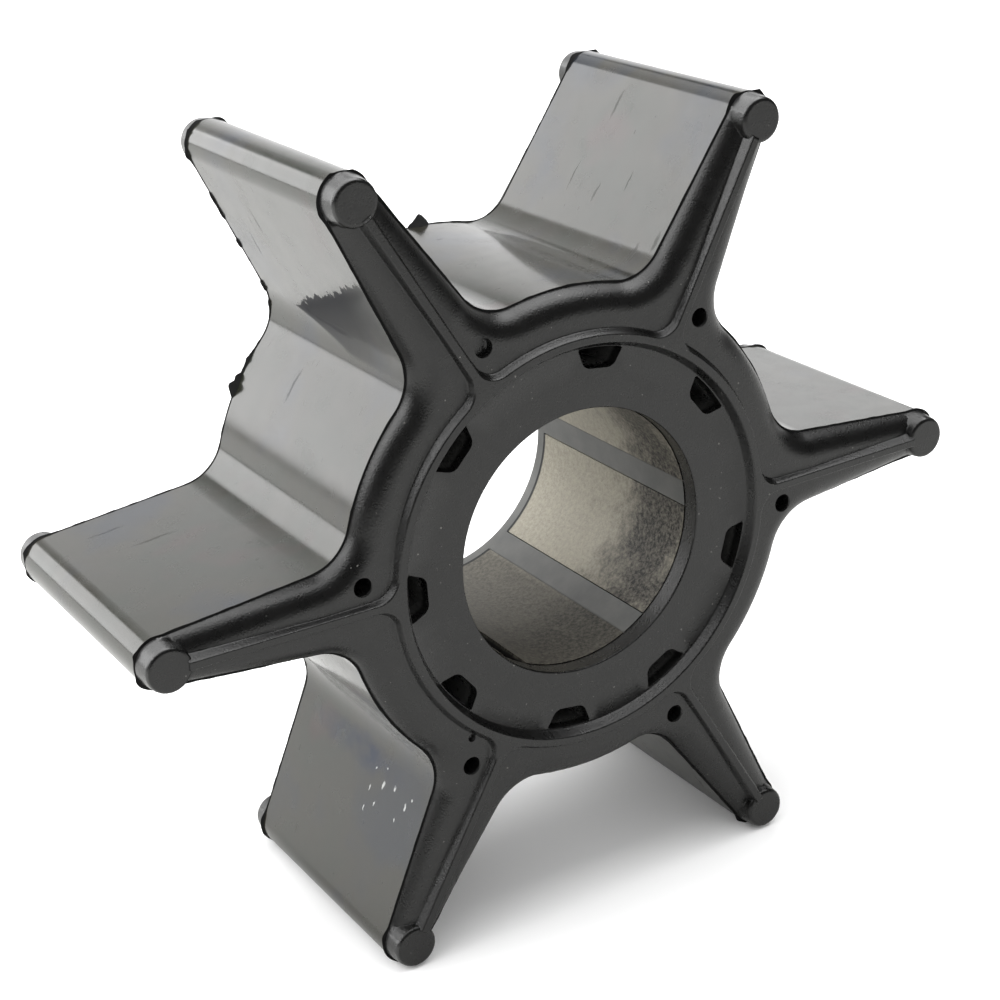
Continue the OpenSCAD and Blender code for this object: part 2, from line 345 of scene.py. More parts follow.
def whole_outline():
    """The outlines of all the vanes, joined round the hub."""
    p, n = half_outline()
    flip = np.array([1, -1])
    vane_p = np.concatenate([(p * flip)[::-1], p[1:]])[:-1]
    vane_n = np.concatenate([(n * flip)[::-1], n[1:]])[:-1]
    turns = range(VANES)
    return (
        np.concatenate([turned(vane_p, v * PITCH) for v in turns]),
        np.concatenate([turned(vane_n, v * PITCH) for v in turns]),
    )


def within_box(p):
    """Holds points of the section inside the size of the model, whose round tips are facets."""
    half_x = rubber_high.x / MM - BOX_GAP
    half_z = rubber_high.z / MM - BOX_GAP
    return np.clip(p, [-half_x, -half_z], [half_x, half_z])


OUTLINE, OUTLINE_N = whole_outline()
OUTLINE = within_box(OUTLINE)


# A mesh is gathered from patches, whose shared corners are welded

class Patches:
    def __init__(self):
        self.points = []
        self.normals = []
        self.faces = []
        self.slots = []
        self.count = 0

    def add(self, points, normals, faces, slot):
        self.points.append(np.asarray(points, float))
        self.normals.append(np.asarray(normals, float))
        self.faces += [[i + self.count for i in f] for f in faces]
        self.slots += [slot] * len(faces)
        self.count += len(points)

    def grid(self, points, normals, slot, closed=False, flip=False):
        """Points and normals in rows: the faces join each row to the next."""
        rows, cols = points.shape[:2]
        faces = []
        for i in range(rows - 1):
            for j in range(cols if closed else cols - 1):
                k = (j + 1) % cols
                f = [i * cols + j, i * cols + k, (i + 1) * cols + k, (i + 1) * cols + j]
                faces.append(f[::-1] if flip else f)
        self.add(points.reshape(-1, 3), normals.reshape(-1, 3), faces, slot)

    def build(self, name, materials):
        """One smooth object of all the patches, with a material for each slot."""
        points = np.concatenate(self.points)
        normals = np.concatenate(self.normals)
        rounded = np.round(points, WELD_DECIMALS)
        _, first, index = np.unique(rounded, axis=0, return_index=True, return_inverse=True)
        index = index.reshape(-1)
        faces = []
        slots = []
        corner_normals = []
        for f, s in zip(self.faces, self.slots):
            g = [int(index[i]) for i in f]
            # Corners that are welded together count once
            if len(set(g)) < len(g):
                g, f = zip(*{a: b for a, b in zip(g, f)}.items())
            if len(g) < 3:
                continue
            faces.append(list(g))
            slots.append(s)
            corner_normals += [normals[i] for i in f]
        mesh = bpy.data.meshes.new(name)
        mesh.from_pydata(to_frame(points[first]).tolist(), [], faces)
        for m in materials:
            mesh.materials.append(m)
        mesh.polygons.foreach_set("material_index", slots)
        mesh.polygons.foreach_set("use_smooth", [True] * len(faces))
        mesh.update()
        row_normals = np.array(corner_normals)[:, [0, 2, 1]] * [1, -1, 1]
        mesh.normals_split_custom_set(row_normals.tolist())
        piece = bpy.data.objects.new(name, mesh)
        bpy.context.scene.collection.objects.link(piece)
        return piece


def to_frame(points):
    """From the section's frame, with z along the axis to the front, to the frame of the model."""
    return points[:, [0, 2, 1]] * [MM, -MM, MM]


def at_height(p, h):
    return np.column_stack([p, np.full(len(p), h)])


def circle(count):
    return unit(np.arange(count) * 2 * math.pi / count)


def add_swept(patches, section, normals, heights, slot, closed=False):
    """A wall along the axis over a line of the section."""
    rows = np.stack([at_height(section, h) for h in heights])
    row_normals = np.stack([at_height(normals, 0)] * len(heights))
    patches.grid(rows, row_normals, slot, closed=closed)


def add_flat_ring(patches, radii, z, facing, slot):
    """A flat ring across the axis."""
    around = circle(BORE_COUNT)
    rows = np.stack([at_height(around * r, z) for r in radii])
    normals = np.zeros_like(rows)
    normals[..., 2] = facing
    patches.grid(rows, normals, slot, closed=True, flip=facing > 0)


# Points over an end face, in rows along what shows on it. A row is an open or closed line.

INSETS = [0.03, LEDGE, 0.09, 0.14, 0.2, 0.27, 0.35, 0.45]
INSETS += [0.56, 0.68, 0.82, 0.98, 1.16, 1.36, 1.58, 1.82]
RIDGE_LEVELS = [-0.1, -0.06, -0.03, 0.0, 0.03, 0.07, 0.12, 0.16, 0.2, 0.25, 0.31, 0.38]
LIP_RADII = [LIP_R, LIP_R + 0.012, LIP_R + 0.04, LIP_R + 0.08, LIP_R + LIP_EDGE_R, 8.9, 9.7, 10.5]
RING_RADII = [12.38, 12.42, 12.46, 12.5, 12.55, 12.6, 12.65]
RING_RADII += [12.69, 12.73, 12.77, 12.81, 12.86, 12.95]
RING_RADII_BACK = [11.55, 11.65, 11.72, 11.77, 11.82, 11.87, 11.94, 12.03, 12.15, 12.27]
DISC_RADII = [0.5, 1.0, 1.1, 1.14, 1.19, 1.24, 1.29, 1.33, 1.37, 1.4, 1.43, 1.47, 1.5]
PIT_RADII = [0.06, 0.12, 0.17, 0.21, 0.25, 0.28, 0.33]
PIN_LEVELS = [-0.3, -0.105, -0.08, -0.04, -0.01, 0.01, 0.04]
NOTCH_LEVELS = [-0.5, -0.31, -0.28, -0.22, -0.15, -0.08, -0.02, 0.0, 0.02, 0.05]
RING_COUNT = 280
DISC_COUNT = 42
PIT_COUNT = 18
PIN_COUNT = 36
NOTCH_COUNT = 72
RIB_LINE_START = 13.0
RIB_LINE_COUNT = 30
RING_STEPS = 22
CORNER_STEPS = 14
RIB_STEPS = 26

# Small distances that keep rows and faces clear of the edges

ROW_SLACK = 0.004
EDGE_GAP = 0.02
CHORD_SLACK = 0.002
MERGE = 1e-4
TINY = 1e-6

# The filler grid: its reach, step and cell, and how far it stays from outline and lip

FILL_REACH = 29
FILL_STEP = 0.8
FILL_CELL = 0.5
FILL_INSET = 0.3
FILL_FROM_LIP = 0.4


def closed(p):
    """A row that ends where it starts."""
    return np.concatenate([p, p[:1]])


def inset_rows():
    """Lines at one distance from the outline, cut where they would cross themselves."""
    rows = []
    for inset in INSETS:
        p = closed(OUTLINE - inset * OUTLINE_N)
        keep = inset_of(p[:, 0], p[:, 1]) > inset - ROW_SLACK
        cuts = np.flatnonzero(np.diff(keep.astype(int))) + 1
        for part, kept in zip(np.split(p, cuts), np.split(keep, cuts)):
            if kept[0] and len(part) > 1:
                rows.append(part)
    return rows


def circle_rows(centre, radii, count):
    ring = unit(np.arange(count + 1) * 2 * math.pi / count)
    return [np.asarray(centre) + r * ring for r in radii]


def contour_rows(distance, centre, levels, rays):
    """The line at each level of a distance, found along rays from a centre."""
    way = circle(rays)
    ray_length = 3.0
    halvings = 24
    rows = []
    for level in levels:
        near = np.zeros(rays)
        far = np.full(rays, ray_length)
        for _ in range(halvings):
            middle = (near + far) / 2
            p = np.asarray(centre) + middle[:, None] * way
            inside = distance(p[:, 0], p[:, 1]) < level
            near = np.where(inside, middle, near)
            far = np.where(inside, far, middle)
        rows.append(closed(np.asarray(centre) + near[:, None] * way))
    return rows


def ridge_row(level):
    """The line round the ring and all the ribs at one distance from their flat tops."""
    ring_r = RING_R + RING_HALF_W
    side = RIB_TOP_W / 2
    ring_stop = math.asin((side + RIB_CORNER_R) / (ring_r + level))
    ring = (ring_r + level) * unit(np.linspace(PITCH / 2, ring_stop, RING_STEPS))
    f = np.linspace(math.pi / 2, 0, CORNER_STEPS)[1:]
    w = side + RIB_CORNER_R - (RIB_CORNER_R - level) * np.cos(f)
    r = ring_r + RIB_CORNER_R - (RIB_CORNER_R - level) * np.sin(f)
    corner = np.stack([np.sqrt(r**2 - w**2), w], 1)
    u = np.linspace(corner[-1, 0], RIB_END + level, RIB_STEPS)[1:]
    rib = np.stack([u, np.full(len(u), side + level)], 1)
    half = np.concatenate([ring, corner, rib])
    whole = np.concatenate([half, [[RIB_END + level, 0]], (half * [1, -1])[::-1][:-1]])
    return closed(np.concatenate([turned(whole, -v * PITCH) for v in range(VANES)]))


def end_rows(end):
    """All the rows of one end face."""
    axis = (0, 0)
    rows = inset_rows()
    rows += circle_rows(axis, LIP_RADII, BORE_COUNT)
    rows += circle_rows(axis, RING_RADII, RING_COUNT)
    if end == "back":
        rows += circle_rows(axis, RING_RADII_BACK, RING_COUNT)
    rows += [ridge_row(level) for level in RIDGE_LEVELS]
    along_rib = np.linspace(RIB_LINE_START, TIP_R + 1, RIB_LINE_COUNT)
    rib_line = np.stack([along_rib, np.zeros(RIB_LINE_COUNT)], 1)
    for v in range(VANES):
        tip = turned(TIP[None], v * PITCH)[0]
        rows += circle_rows(tip, DISC_RADII, DISC_COUNT)
        rows.append(turned(rib_line, v * PITCH))
    if end == "front":
        for v in range(VANES):
            centre = turned(np.array([PIN_AT]), v * PITCH)[0]
            rows += contour_rows(pin_distance, centre, PIN_LEVELS, PIN_COUNT)
        rows += circle_rows(PIT_AT, PIT_RADII, PIT_COUNT)
        for a in notch_turns():
            centre = NOTCH_MIDDLE_R * np.array([math.cos(a), math.sin(a)])
            rows += contour_rows(notch_distance, centre, NOTCH_LEVELS, NOTCH_COUNT)
    return rows


def on_face(p, from_outline, from_lip):
    """Whether points are inside the outline and outside the bore, by more than given distances."""
    inside = inset_of(p[:, 0], p[:, 1]) > from_outline
    return inside & (np.hypot(p[:, 0], p[:, 1]) > LIP_R + from_lip)


def filler_points(points):
    """A coarse grid where no row lies near."""
    steps = np.arange(-FILL_REACH, FILL_REACH, FILL_STEP)
    grid = np.stack(np.meshgrid(steps, steps), -1).reshape(-1, 2)
    near = {tuple(c) for c in np.round(points / FILL_CELL).astype(int)}
    around = [(i, j) for i in (-1, 0, 1) for j in (-1, 0, 1)]
    alone = []
    for p in grid[on_face(grid, FILL_INSET, FILL_FROM_LIP)]:
        i, j = np.round(p / FILL_CELL).astype(int)
        if not any((i + di, j + dj) in near for di, dj in around):
            alone.append(p)
    return np.array(alone).reshape(-1, 2)


def face_mesh(end):
    """Triangles over an end face, whose edges follow the rows."""
    count = len(OUTLINE)
    points = [OUTLINE]
    edges = [(i, (i + 1) % count) for i in range(count)]
    for row in end_rows(end):
        good = on_face(row, EDGE_GAP, -TINY)
        links = [i for i in range(len(row) - 1) if good[i] and good[i + 1]]
        edges += [(count + i, count + i + 1) for i in links]
        points.append(row)
        count += len(row)
    points = np.concatenate(points)
    good = on_face(points, EDGE_GAP, -TINY)
    good[: len(OUTLINE)] = True
    index = np.cumsum(good) - 1
    edges = [(int(index[i]), int(index[j])) for i, j in edges]
    points = points[good]
    points = np.concatenate([points, filler_points(points)])
    made = delaunay_2d_cdt([Vector(p) for p in points], edges, [], 0, MERGE)
    flat = np.array([tuple(v) for v in made[0]])
    faces = np.array([tuple(f) for f in made[2]])
    inside = on_face(flat[faces].mean(1), MERGE, -CHORD_SLACK)
    return flat, faces[inside]


# The parts of the moulding, each with its slot

RUBBER_FACE, RUBBER_FLANK, RUBBER_EDGE, RUBBER_BORE, RUBBER_COLLAR = range(5)


def add_end(patches, end):
    """An end face, whose collars round the bead discs have a slot of their own."""
    flat, faces = face_mesh(end)
    x, y = flat[:, 0], flat[:, 1]
    on_edge = inset_of(x, y) < 0.001
    z = np.where(on_edge, PARTING_Z, end_height(x, y, end))
    normals = end_normals(x, y, end)
    points = np.stack([x, y, z], 1)
    if end == "back":
        points = points * [1, 1, -1]
        normals = normals * [1, 1, -1]
        faces = faces[:, ::-1]
    centre = flat[faces].mean(1)
    u, w = fold(centre[:, 0], centre[:, 1])
    before_tip, inside_edge = 0.3, 0.1
    past_tip = (u - TIP_R) * FLANK_DIR[0] + np.abs(w) * FLANK_DIR[1] < before_tip
    collar = past_tip & (np.hypot(u - TIP_R, w) > BEAD_DISC_R - inside_edge)
    patches.add(points, normals, faces[~collar].tolist(), RUBBER_FACE)
    patches.add(points, normals, faces[collar].tolist(), RUBBER_COLLAR)


def add_flanks(patches):
    heights = np.linspace(-PARTING_Z, PARTING_Z, FLANK_ROWS)
    add_swept(patches, OUTLINE, OUTLINE_N, heights, RUBBER_FLANK, closed=True)


def add_bore(patches):
    """The lips in front of and behind the bush."""
    around = circle(BORE_COUNT)
    lip_width = 1.5
    front_lip = (BEAD_TOP - RECESS["front"] - LIP_EDGE_R, BUSH_FRONT)
    back_lip = (BUSH_BACK, -BEAD_TOP + RECESS["back"] + LIP_EDGE_R)
    for (high, low), slot in ((front_lip, RUBBER_FACE), (back_lip, RUBBER_BORE)):
        heights = np.linspace(high, low, LIP_ROWS)
        add_swept(patches, around * LIP_R, -around, heights, slot, closed=True)
    for z, facing in ((BUSH_FRONT, -1), (BUSH_BACK, 1)):
        add_flat_ring(patches, (LIP_R, LIP_R + lip_width), z, facing, RUBBER_BORE)


def add_strips(patches):
    """Rubber that fills the bush's unused grooves, a little narrower than the groove."""
    seam = 0.07
    half = (GROOVE_W / 2 - seam) / BUSH_BORE_R
    side = 0.06 / BUSH_BORE_R
    across = np.array([-half - side, -half, -half / 2, 0, half / 2, half, half + side])
    depth = np.array([0.35, 0.01, 0.0, 0.0, 0.0, 0.01, 0.35])
    heights = np.linspace(BUSH_FRONT, BUSH_BACK, STRIP_ROWS)
    for middle in FILLED_GROOVES:
        around = unit(middle + across)
        section = (BUSH_BORE_R + depth)[:, None] * around
        add_swept(patches, section, -around, heights, RUBBER_BORE)


# The flash. A lump has its end (1 front, -1 back), place in the section, reach and width.

FLASH_LUMPS = [
    (-1, (0.2, 16.0), 0.75, 0.6),
    (-1, (-13.75, 8.2), 0.8, 0.45),
    (-1, (-12.7, 9.7), 0.4, 0.25),
    (1, (13.2, 25.1), 1.4, 0.2),
    (-1, (13.2, 25.1), 1.4, 0.12),
]
TORN_FROM = math.radians(121)
TORN_TO = math.radians(148)
TORN_W = 0.085
UNTORN_W = 0.025
FRONT_FLASH_W = 0.045
BACK_FLASH_W = 0.03
TIP_FLASH_W = 0.08


def bump_at(p, centre, reach):
    """1 at a point of the section, falling to 0 at a distance from it."""
    away = np.hypot(p[:, 0] - centre[0], p[:, 1] - centre[1]) / reach
    return np.clip(1 - away, 0, 1) ** 0.5


def flash_width(p, sign):
    """Width of the fin over the parting edge: wider round the tips, uneven elsewhere."""
    seed = Vector((3.1, 7.7, 5.0 * sign))
    fine_scale, broad_scale = 1.1, 0.4
    tip_start, tip_rise = 27.0, 0.8
    at = [Vector((x, y, 0)) for x, y in p]
    fine = np.array([noise.noise(v * fine_scale + seed) for v in at])
    broad = np.array([noise.noise(v * broad_scale - seed) for v in at])
    tip = np.clip((np.hypot(p[:, 0], p[:, 1]) - tip_start) / tip_rise, 0, 1)
    if sign > 0:
        width = FRONT_FLASH_W + 0.06 * np.maximum(fine, 0) + 0.05 * np.maximum(broad, 0)
    else:
        angle = np.arctan2(p[:, 1], p[:, 0])
        torn = np.where((angle > TORN_FROM) & (angle < TORN_TO), TORN_W, UNTORN_W)
        width = BACK_FLASH_W + torn * np.clip(6 * fine, 0, 1) + 0.04 * np.maximum(broad, 0)
    width = width + tip * (TIP_FLASH_W + 0.1 * np.maximum(fine, 0))
    for end, centre, reach, size in FLASH_LUMPS:
        if end == sign:
            width = width + size * bump_at(p, centre, reach) * (0.7 + 0.9 * np.abs(fine))
    return width


def add_flash(patches):
    """The thin, uneven fin that the mould leaves along its parting edges."""
    t = np.arange(len(OUTLINE) * FLASH_STEPS) / FLASH_STEPS
    index = np.arange(len(OUTLINE) + 1)

    def refined(values):
        whole = closed(values)
        return np.stack([np.interp(t, index, whole[:, k]) for k in range(2)], 1)

    base = refined(OUTLINE)
    outward = refined(OUTLINE_N)
    for sign in (1, -1):
        width = flash_width(base, sign)
        out = within_box(base + width[:, None] * outward)
        thick = 0.04 + 0.35 * width
        z = sign * PARTING_Z
        # The fin's section, from its root under the edge, out to its lip and back onto the ledge
        low = np.column_stack([within_box(base + 0.004 * outward), z - sign * (0.05 + thick)])
        edge = at_height(out, z - sign * 0.02)
        rim = at_height(out, z + sign * 0.01)
        top = at_height(base - LEDGE * outward, z + sign * 0.03)
        side = at_height(outward, -0.6 * sign)
        up = at_height(outward * 0.3, 1.0 * sign)
        rows = np.stack([low, edge, rim, top])
        normals = np.stack([side, side, up, up])
        normals = normals / np.linalg.norm(normals, axis=2, keepdims=True)
        patches.grid(rows, normals, RUBBER_EDGE, closed=True, flip=sign < 0)


def add_bush(patches):
    """The bush's bore between its grooves, the open keyway and the end rings."""
    full = 2 * math.pi
    slot = 0
    deep = BUSH_BORE_R + GROOVE_DEPTH
    heights = np.linspace(BUSH_FRONT, BUSH_BACK, BUSH_ROWS)
    grooves = [(a % full, GROOVE_W) for a in FILLED_GROOVES]
    grooves = sorted(grooves + [(KEYWAY_ANGLE % full, KEYWAY_W)])
    first_again = (grooves[0][0] + full, grooves[0][1])

    def sheet(section, inward):
        add_swept(patches, section, inward, heights, slot)

    for (a0, w0), (a1, w1) in zip(grooves, grooves[1:] + [first_again]):
        start = a0 + w0 / 2 / BUSH_BORE_R
        stop = a1 - w1 / 2 / BUSH_BORE_R
        count = max(4, int((stop - start) / BUSH_ARC_STEP))
        wall = unit(np.linspace(start, stop, count))
        sheet(wall * BUSH_BORE_R, -wall)
        lead = np.array([math.cos(start), math.sin(start)])
        tail = np.array([math.cos(stop), math.sin(stop)])
        sheet(np.stack([lead * deep, lead * BUSH_BORE_R]), [[lead[1], -lead[0]]] * 2)
        sheet(np.stack([tail * BUSH_BORE_R, tail * deep]), [[-tail[1], tail[0]]] * 2)
    for middle, width in grooves:
        half = width / 2 / BUSH_BORE_R
        bottom = unit(np.linspace(middle - half, middle + half, 6))
        sheet(bottom * deep, -bottom)
    for z, facing in ((BUSH_FRONT, 1), (BUSH_BACK, -1)):
        add_flat_ring(patches, (deep, BUSH_BORE_R + BUSH_WALL), z, facing, slot)


# Materials

ON_AXIS = (0, 0, 0)
ALONG_AXIS = (0, 1, 0)
ENDLESS = 1000.0
PER_METRE = 1000.0


def new_material(name):
    material = bpy.data.materials.new(name)
    material.use_nodes = True
    tree = material.node_tree
    tree.nodes.clear()
    out = tree.nodes.new("ShaderNodeOutputMaterial")
    shader = tree.nodes.new("ShaderNodeBsdfPrincipled")
    tree.links.new(shader.outputs[0], out.inputs["Surface"])
    return material, tree, shader


def place(tree, scale=PER_METRE, turn=(0, 0, 0)):
    """Coordinates on the object, in millimetres unless scaled otherwise."""
    coords = tree.nodes.new("ShaderNodeTexCoord")
    mapping = tree.nodes.new("ShaderNodeMapping")
    scales = scale if isinstance(scale, tuple) else (scale,) * 3
    mapping.inputs["Scale"].default_value = scales
    mapping.inputs["Rotation"].default_value = turn
    tree.links.new(coords.outputs["Object"], mapping.inputs["Vector"])
    return mapping.outputs[0]


def noise_of(tree, vector, scale, detail=3.0, rough=0.55):
    n = tree.nodes.new("ShaderNodeTexNoise")
    n.inputs["Scale"].default_value = scale
    n.inputs["Detail"].default_value = detail
    n.inputs["Roughness"].default_value = rough
    tree.links.new(vector, n.inputs["Vector"])
    return n.outputs["Fac"]


def ramp(tree, value, stops):
    """A colour ramp from (position, colour or grey) stops."""
    node = tree.nodes.new("ShaderNodeValToRGB")
    band = node.color_ramp
    while len(band.elements) < len(stops):
        band.elements.new(0.5)
    for element, (at, colour) in zip(band.elements, stops):
        element.position = at
        rgb = colour if isinstance(colour, tuple) else (colour,) * 3
        element.color = (*rgb, 1)
    tree.links.new(value, node.inputs["Fac"])
    return node.outputs["Color"]


def mixed(tree, share, a, b):
    node = tree.nodes.new("ShaderNodeMix")
    node.data_type = "RGBA"
    tree.links.new(share, node.inputs["Factor"])
    for socket, value in ((node.inputs["A"], a), (node.inputs["B"], b)):
        if isinstance(value, tuple):
            socket.default_value = (*value, 1)
        else:
            tree.links.new(value, socket)
    return node.outputs["Result"]


def bumped(tree, shader, layers):
    """Bump from (height, strength, distance in millimetres) layers, one over the other."""
    last = None
    for height, strength, depth in layers:
        node = tree.nodes.new("ShaderNodeBump")
        node.inputs["Strength"].default_value = strength
        node.inputs["Distance"].default_value = depth * MM
        tree.links.new(height, node.inputs["Height"])
        if last is not None:
            tree.links.new(last, node.inputs["Normal"])
        last = node.outputs[0]
    tree.links.new(last, shader.inputs["Normal"])


def spot(tree, at, centre, reach, stops):
    """A ramp over the distance from a centre, with a reach along each axis, in millimetres."""
    shifted = tree.nodes.new("ShaderNodeVectorMath")
    shifted.operation = "SUBTRACT"
    shifted.inputs[1].default_value = centre
    tree.links.new(at, shifted.inputs[0])
    scaled = tree.nodes.new("ShaderNodeVectorMath")
    scaled.operation = "DIVIDE"
    scaled.inputs[1].default_value = reach
    tree.links.new(shifted.outputs[0], scaled.inputs[0])
    length = tree.nodes.new("ShaderNodeVectorMath")
    length.operation = "LENGTH"
    tree.links.new(scaled.outputs[0], length.inputs[0])
    return ramp(tree, length.outputs["Value"], stops)


def combined(tree, operation, *values):
    """Takes values together, two at a time."""
    last = values[0]
    for value in values[1:]:
        node = tree.nodes.new("ShaderNodeMath")
        node.operation = operation
        tree.links.new(last, node.inputs[0])
        tree.links.new(value, node.inputs[1])
        last = node.outputs[0]
    return last


def halved(tree, value):
    node = tree.nodes.new("ShaderNodeMath")
    node.operation = "MULTIPLY"
    node.inputs[1].default_value = 0.5
    tree.links.new(value, node.inputs[0])
    return node.outputs[0]


def product(tree, *values):
    return combined(tree, "MULTIPLY", *values)


def summed(tree, *values):
    return combined(tree, "ADD", *values)


def largest(tree, *values):
    return combined(tree, "MAXIMUM", *values)


def along(tree, at, direction, start, stop):
    """0 at one distance along a direction and 1 at another."""
    dot = tree.nodes.new("ShaderNodeVectorMath")
    dot.operation = "DOT_PRODUCT"
    dot.inputs[1].default_value = direction
    tree.links.new(at, dot.inputs[0])
    node = tree.nodes.new("ShaderNodeMapRange")
    node.inputs["From Min"].default_value = start
    node.inputs["From Max"].default_value = stop
    tree.links.new(dot.outputs["Value"], node.inputs["Value"])
    return node.outputs[0]


def depth_of(tree, at):
    """0 at the front end of the bush and 1 at its back end."""
    return along(tree, at, ALONG_AXIS, -BUSH_FRONT, -BUSH_BACK)


def wobbled(tree, at, scale, amount):
    """Coordinates pushed about by a noise, so that what is placed on them gets ragged edges."""
    push = tree.nodes.new("ShaderNodeTexNoise")
    push.inputs["Scale"].default_value = scale
    tree.links.new(at, push.inputs["Vector"])
    centred = tree.nodes.new("ShaderNodeVectorMath")
    centred.operation = "SUBTRACT"
    centred.inputs[1].default_value = (0.5, 0.5, 0.5)
    tree.links.new(push.outputs["Color"], centred.inputs[0])
    moved = tree.nodes.new("ShaderNodeVectorMath")
    moved.operation = "MULTIPLY_ADD"
    moved.inputs[1].default_value = (amount, amount, amount)
    tree.links.new(centred.outputs[0], moved.inputs[0])
    tree.links.new(at, moved.inputs[2])
    return moved.outputs[0]


def marks(tree, places, ragged):
    """Small marks, each from the turn of its frame about the axis, its centre there and its reach."""
    masks = []
    ragged_scale = 1.6
    fading = [(0.45, 1.0), (1.0, 0.0)]
    for turn, centre, reach in places:
        at = place(tree, turn=(0, math.radians(turn), 0))
        at = wobbled(tree, at, ragged_scale, ragged)
        masks.append(spot(tree, at, centre, reach, fading))
    return largest(tree, *masks)


# Marks on the flanks: turn of the vane, centre (along it, along the axis, across it) and reach

PALE_FLECKS = [
    (-120, (20.5, -2.2, -2.3), (0.3, 0.1, 4)),
    (-120, (19.8, -3.6, -2.3), (0.34, 0.17, 4)),
    (-120, (18.5, -3.5, -2.3), (0.13, 0.1, 4)),
    (-120, (19.1, -2.3, -2.3), (0.13, 0.1, 4)),
    (-120, (19.4, -4.9, -2.3), (0.24, 0.11, 4)),
    (-120, (21.2, -3.2, -2.3), (0.3, 0.1, 4)),
    (-120, (19.9, -6.5, -2.3), (0.34, 0.13, 4)),
    (-120, (21.9, -2.2, -2.3), (0.25, 0.08, 4)),
    (-120, (21.1, -5.8, -2.3), (0.12, 0.1, 4)),
    (-120, (19.3, -7.0, -2.3), (0.12, 0.09, 4)),
]
DULL_STROKES = [
    (60, (25.9, 1.8, 2.0), (1.2, 0.16, 4)),
    (60, (20.1, -0.4, 2.0), (0.8, 0.12, 4)),
    (60, (21.4, -3.0, 2.0), (0.8, 0.09, 4)),
    (78, (20.4, 2.6, -3.7), (1.2, 0.08, 4)),
    (60, (17.3, -6.8, 2.3), (0.9, 0.22, 4)),
    (60, (18.4, -8.2, 2.3), (0.8, 0.2, 4)),
    (180, (19.1, 9.1, -2.4), (1.1, 0.5, 4)),
    (180, (22.6, 3.0, -2.2), (1.7, 0.16, 4)),
    (180, (24.5, 6.2, -2.2), (1.5, 0.14, 4)),
    (52.5, (0.0, 2.45, 15.9), (1.4, 0.16, 4)),
    (120, (24.5, 3.0, 2.0), (1.3, 0.1, 4)),
    (120, (22.0, 5.5, 2.0), (1.1, 0.1, 4)),
]


def dark_reflection_patch(tree):
    """Where a dark reflection is painted at the root of the upper left vane: a wedge, ragged along its
    upper edge and fading away from it."""
    at = place(tree, turn=(0, math.radians(120), 0))
    ragged_edge = noise_of(tree, at, 1.05, 4, 0.62)
    edge = along(tree, at, (1, 0.39, 0), 20.5, 18.6)
    upper = ramp(tree, halved(tree, summed(tree, edge, ragged_edge)), [(0.49, 0.0), (0.515, 1.0)])
    lower = along(tree, at, (1, 0, 0), 16.2, 16.4)
    point = along(tree, at, (1, -0.2, 0), 16.65, 16.85)
    left = along(tree, at, (0, 0, 1), 0.0, 0.5)
    fade = ramp(tree, along(tree, at, (1, 0.39, 0), 19.6, 14.0), [(0.12, 1.0), (1.0, 0.3)])
    haze = ramp(tree, along(tree, at, (0, -1, 0), 4.5, 9.0), [(0.0, 1.0), (1.0, 0.5)])
    return product(tree, upper, lower, point, left, fade, haze)


def matt_rubber():
    """The end faces, which the mould left fine and matt, with specks of dust, and with painted light on
    the walls and floors of the notches.
    """
    material, tree, shader = new_material("rubber_end_face")
    at = place(tree)
    cloud = noise_of(tree, at, 0.35, 4)
    colour = ramp(tree, cloud, [(0.3, (0.0045, 0.0045, 0.0044)), (0.7, (0.0075, 0.0075, 0.0072))])
    grain = noise_of(tree, at, 8.0, 2, 0.6)
    dust = ramp(tree, noise_of(tree, at, 4.4, 1, 0.4), [(0.78, 0.0), (0.82, 1.0)])
    # Painted light: below the front face, in the band of the notches, the walls and floors are painted
    # a lighter grey, as if lit.
    sunk_in = along(tree, at, ALONG_AXIS, -9.35, -9.1)
    band = [(0.84, 0.0), (0.86, 1.0), (0.97, 1.0), (1.0, 0.0)]
    painted_notch_light = spot(tree, at, ON_AXIS, (12.7, ENDLESS, 12.7), band)
    colour = mixed(tree, product(tree, sunk_in, painted_notch_light), colour, (0.05, 0.05, 0.048))
    tree.links.new(mixed(tree, dust, colour, (0.16, 0.155, 0.145)), shader.inputs["Base Color"])
    rough = ramp(tree, noise_of(tree, at, 1.2, 4), [(0.3, 0.25), (0.7, 0.32)])
    tree.links.new(rough, shader.inputs["Roughness"])
    shader.inputs["Specular IOR Level"].default_value = 0.72
    swell = noise_of(tree, at, 1.5, 3)
    bumped(tree, shader, [(grain, 0.5, 0.04), (swell, 0.12, 0.05)])
    return material


